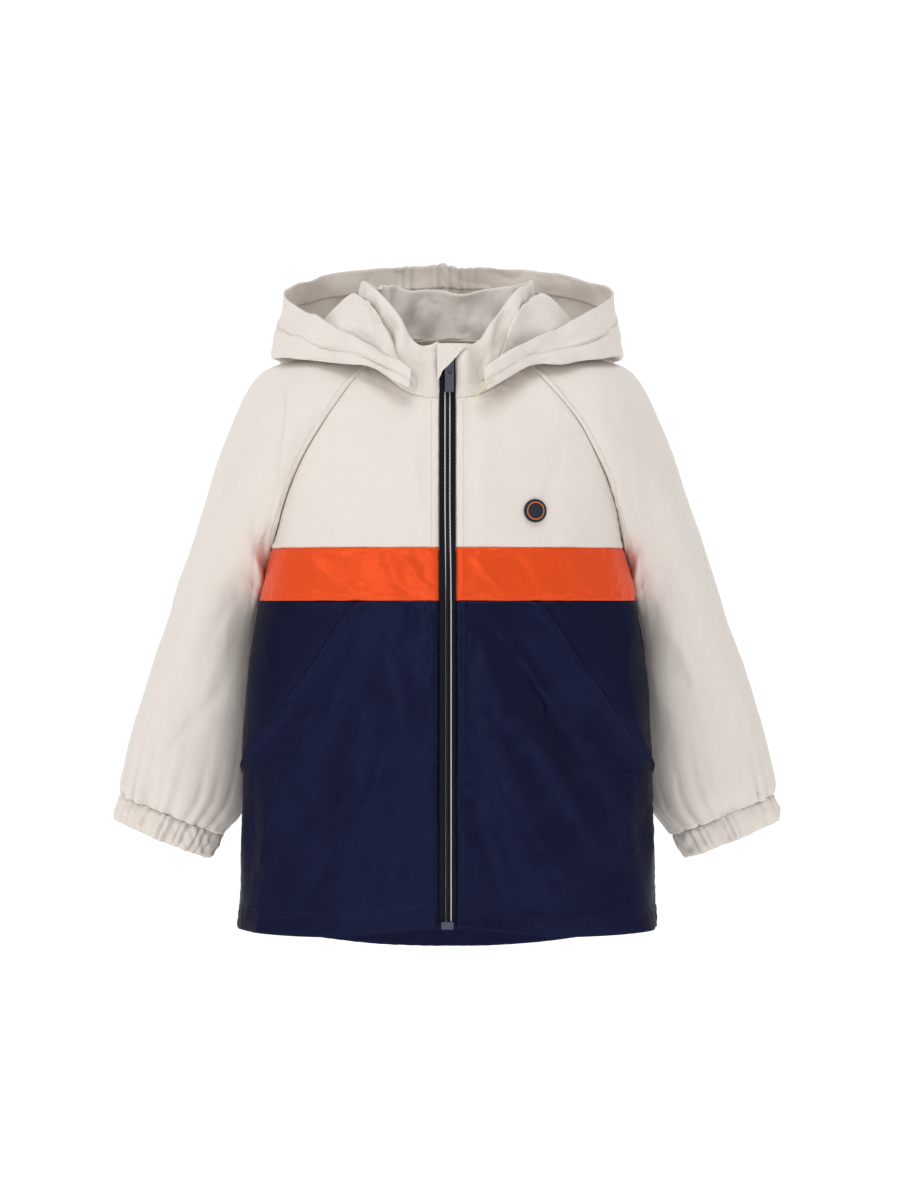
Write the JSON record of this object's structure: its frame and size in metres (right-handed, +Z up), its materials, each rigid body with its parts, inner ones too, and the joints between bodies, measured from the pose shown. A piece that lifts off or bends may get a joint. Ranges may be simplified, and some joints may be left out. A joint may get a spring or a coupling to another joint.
{
  "type": "hooded windbreaker parka",
  "caption": "Child's light hooded parka, raglan sleeves, stand collar, full zip, slanted pockets, gathered cuffs and hem, hood thrown back.",
  "frame": {"origin": "middle of the neck opening, level with the middle height of the neck seam, where a wearer's neck holds the coat", "axes": "+Z up along the neck, +X to the wearer's left, so the front with its zip faces -Y"},
  "size_m": [0.541, 0.2597, 0.566],
  "materials": {
    "beige_nylon": "woven nylon, faint sheen",
    "orange_nylon": "woven nylon, faint sheen",
    "navy_nylon": "satin woven nylon",
    "zip_tape": "matt herringbone tape",
    "zip_coil": "nylon coil, satin",
    "slider_paint": "grey-blue lacquer on zinc",
    "cream_tape": "matt tape",
    "copper_thread": "lustrous thread"
  },
  "bodies": {
    "coat": {"back_band": "orange_nylon", "back_lower": "navy_nylon", "back_yoke": "beige_nylon", "badge": "navy_nylon", "badge_ring": "copper_thread", "chin_guard": "beige_nylon", "collar": "beige_nylon", "cuff_left": "beige_nylon", "cuff_right": "beige_nylon", "front_band_left": "orange_nylon", "front_band_right": "orange_nylon", "front_lower_left": "navy_nylon", "front_lower_right": "navy_nylon", "front_yoke_left": "beige_nylon", "front_yoke_right": "beige_nylon", "hood_brim": "beige_nylon", "hood_center": "beige_nylon", "hood_side_left": "beige_nylon", "hood_side_right": "beige_nylon", "hood_zip_end": "cream_tape", "neck_tape": "beige_nylon", "pocket_side_left": "navy_nylon", "pocket_side_right": "navy_nylon", "sleeve_left": "beige_nylon", "sleeve_right": "beige_nylon", "zip_box": "slider_paint", "zip_coil": "zip_coil", "zip_slider": "slider_paint", "zip_tape_left": "zip_tape", "zip_tape_right": "zip_tape"},
    "tab": {"pull_tab": "slider_paint"}
  },
  "joints": [
    {"name": "pull_tab_hinge", "type": "hinge", "parent": "coat", "child": "tab", "pos_m": [0.0016, -0.06487, -0.0083], "axis": [-1, 0, 0], "range_deg": [0, 105]}
  ]
}
